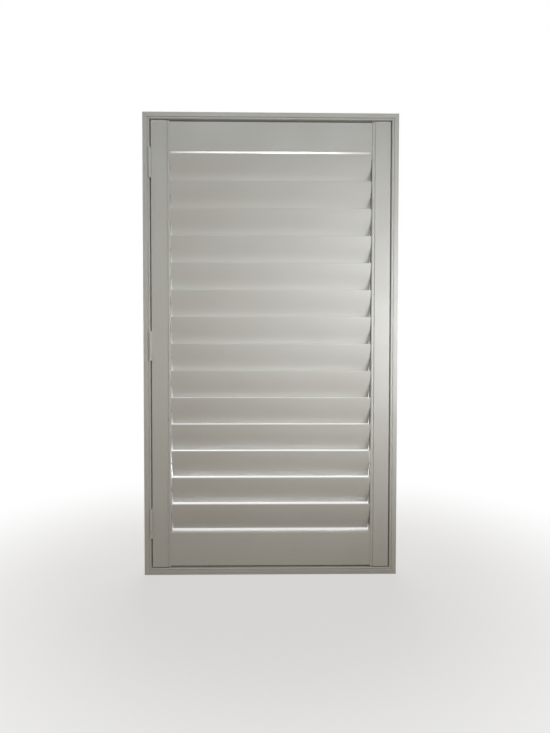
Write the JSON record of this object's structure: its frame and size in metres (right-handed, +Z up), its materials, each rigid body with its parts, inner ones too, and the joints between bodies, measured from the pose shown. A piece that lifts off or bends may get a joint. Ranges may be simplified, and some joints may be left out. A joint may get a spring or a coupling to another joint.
{
  "type": "louvred shutter",
  "caption": "Louvred window shutter: a hinged panel whose blades tilt together by a rack and gears hidden in its stile, inside a mitred beaded frame that lines the window reveal.",
  "frame": {"origin": "middle of the underside of the frame, halfway through its depth", "axes": "+X to the right as seen from the room, +Y away from the room towards the window, +Z up"},
  "size_m": [0.661, 0.0543, 1.201],
  "materials": {
    "painted_timber": "satin off-white paint",
    "louvre_polymer": "satin off-white extrusion",
    "hinge_paint": "white gloss paint",
    "gear_plastic": "moulded grey",
    "key_plastic": "moulded light grey",
    "catch_plastic": "moulded dark brown",
    "strike_steel": "plain"
  },
  "bodies": {
    "frame": {"frame_bottom": "painted_timber", "frame_top": "painted_timber", "frame_left": "painted_timber", "frame_right": "painted_timber", "corner_keys": "key_plastic", "magnet_catch": "catch_plastic", "hinge_top_frame_leaf": "hinge_paint", "hinge_middle_frame_leaf": "hinge_paint", "hinge_bottom_frame_leaf": "hinge_paint"},
    "panel": {"stile_left": "painted_timber", "stile_right": "painted_timber", "rail_top": "painted_timber", "rail_bottom": "painted_timber", "pivot_pins": "gear_plastic", "bearing_comb": "gear_plastic", "strike_plate": "strike_steel", "hinge_top_panel_leaf": "hinge_paint", "hinge_middle_panel_leaf": "hinge_paint", "hinge_bottom_panel_leaf": "hinge_paint"},
    "rack": {"rack": "gear_plastic"},
    "louvre_01": {"louvre_01": "louvre_polymer", "gear_pin_01": "gear_plastic"},
    "louvre_02": {"louvre_02": "louvre_polymer", "gear_pin_02": "gear_plastic"},
    "louvre_03": {"louvre_03": "louvre_polymer", "gear_pin_03": "gear_plastic"},
    "louvre_04": {"louvre_04": "louvre_polymer", "gear_pin_04": "gear_plastic"},
    "louvre_05": {"louvre_05": "louvre_polymer", "gear_pin_05": "gear_plastic"},
    "louvre_06": {"louvre_06": "louvre_polymer", "gear_pin_06": "gear_plastic"},
    "louvre_07": {"louvre_07": "louvre_polymer", "gear_pin_07": "gear_plastic"},
    "louvre_08": {"louvre_08": "louvre_polymer", "gear_pin_08": "gear_plastic"},
    "louvre_09": {"louvre_09": "louvre_polymer", "gear_pin_09": "gear_plastic"},
    "louvre_10": {"louvre_10": "louvre_polymer", "gear_pin_10": "gear_plastic"},
    "louvre_11": {"louvre_11": "louvre_polymer", "gear_pin_11": "gear_plastic"},
    "louvre_12": {"louvre_12": "louvre_polymer", "gear_pin_12": "gear_plastic"},
    "louvre_13": {"louvre_13": "louvre_polymer", "gear_pin_13": "gear_plastic"},
    "louvre_14": {"louvre_14": "louvre_polymer", "gear_pin_14": "gear_plastic"}
  },
  "joints": [
    {"name": "panel_swing", "type": "hinge", "parent": "frame", "child": "panel", "pos_m": [-0.311, -0.0275, 0.6005], "axis": [0, 0, -1], "range_deg": [0, 170]},
    {"name": "louvre_01_tilt", "type": "hinge", "parent": "panel", "child": "louvre_01", "pos_m": [0, -0.009, 1.061], "axis": [1, 0, 0], "range_deg": [-15.5, 155.5]},
    {"name": "louvre_02_tilt", "type": "hinge", "parent": "panel", "child": "louvre_02", "pos_m": [0, -0.009, 0.991], "axis": [1, 0, 0], "range_deg": [-15.5, 155.5]},
    {"name": "louvre_03_tilt", "type": "hinge", "parent": "panel", "child": "louvre_03", "pos_m": [0, -0.009, 0.921], "axis": [1, 0, 0], "range_deg": [-15.5, 155.5]},
    {"name": "louvre_04_tilt", "type": "hinge", "parent": "panel", "child": "louvre_04", "pos_m": [0, -0.009, 0.851], "axis": [1, 0, 0], "range_deg": [-15.5, 155.5]},
    {"name": "louvre_05_tilt", "type": "hinge", "parent": "panel", "child": "louvre_05", "pos_m": [0, -0.009, 0.781], "axis": [1, 0, 0], "range_deg": [-15.5, 155.5]},
    {"name": "louvre_06_tilt", "type": "hinge", "parent": "panel", "child": "louvre_06", "pos_m": [0, -0.009, 0.711], "axis": [1, 0, 0], "range_deg": [-15.5, 155.5]},
    {"name": "louvre_07_tilt", "type": "hinge", "parent": "panel", "child": "louvre_07", "pos_m": [0, -0.009, 0.641], "axis": [1, 0, 0], "range_deg": [-15.5, 155.5]},
    {"name": "louvre_08_tilt", "type": "hinge", "parent": "panel", "child": "louvre_08", "pos_m": [0, -0.009, 0.571], "axis": [1, 0, 0], "range_deg": [-15.5, 155.5]},
    {"name": "louvre_09_tilt", "type": "hinge", "parent": "panel", "child": "louvre_09", "pos_m": [0, -0.009, 0.501], "axis": [1, 0, 0], "range_deg": [-15.5, 155.5]},
    {"name": "louvre_10_tilt", "type": "hinge", "parent": "panel", "child": "louvre_10", "pos_m": [0, -0.009, 0.431], "axis": [1, 0, 0], "range_deg": [-15.5, 155.5]},
    {"name": "louvre_11_tilt", "type": "hinge", "parent": "panel", "child": "louvre_11", "pos_m": [0, -0.009, 0.361], "axis": [1, 0, 0], "range_deg": [-15.5, 155.5]},
    {"name": "louvre_12_tilt", "type": "hinge", "parent": "panel", "child": "louvre_12", "pos_m": [0, -0.009, 0.291], "axis": [1, 0, 0], "range_deg": [-15.5, 155.5]},
    {"name": "louvre_13_tilt", "type": "hinge", "parent": "panel", "child": "louvre_13", "pos_m": [0, -0.009, 0.221], "axis": [1, 0, 0], "range_deg": [-15.5, 155.5]},
    {"name": "louvre_14_tilt", "type": "hinge", "parent": "panel", "child": "louvre_14", "pos_m": [0, -0.009, 0.151], "axis": [1, 0, 0], "range_deg": [-15.5, 155.5]},
    {"name": "rack_slide", "type": "slide", "parent": "panel", "child": "rack", "axis": [0, 0, 1], "range_m": [-0.0016, 0.0152]}
  ],
  "couplings": [
    {"joint": "louvre_02_tilt", "follows": "louvre_01_tilt", "ratio": 1},
    {"joint": "louvre_03_tilt", "follows": "louvre_01_tilt", "ratio": 1},
    {"joint": "louvre_04_tilt", "follows": "louvre_01_tilt", "ratio": 1},
    {"joint": "louvre_05_tilt", "follows": "louvre_01_tilt", "ratio": 1},
    {"joint": "louvre_06_tilt", "follows": "louvre_01_tilt", "ratio": 1},
    {"joint": "louvre_07_tilt", "follows": "louvre_01_tilt", "ratio": 1},
    {"joint": "louvre_08_tilt", "follows": "louvre_01_tilt", "ratio": 1},
    {"joint": "louvre_09_tilt", "follows": "louvre_01_tilt", "ratio": 1},
    {"joint": "louvre_10_tilt", "follows": "louvre_01_tilt", "ratio": 1},
    {"joint": "louvre_11_tilt", "follows": "louvre_01_tilt", "ratio": 1},
    {"joint": "louvre_12_tilt", "follows": "louvre_01_tilt", "ratio": 1},
    {"joint": "louvre_13_tilt", "follows": "louvre_01_tilt", "ratio": 1},
    {"joint": "louvre_14_tilt", "follows": "louvre_01_tilt", "ratio": 1},
    {"joint": "rack_slide", "follows": "louvre_01_tilt", "m_per_rad": 0.0055704}
  ]
}
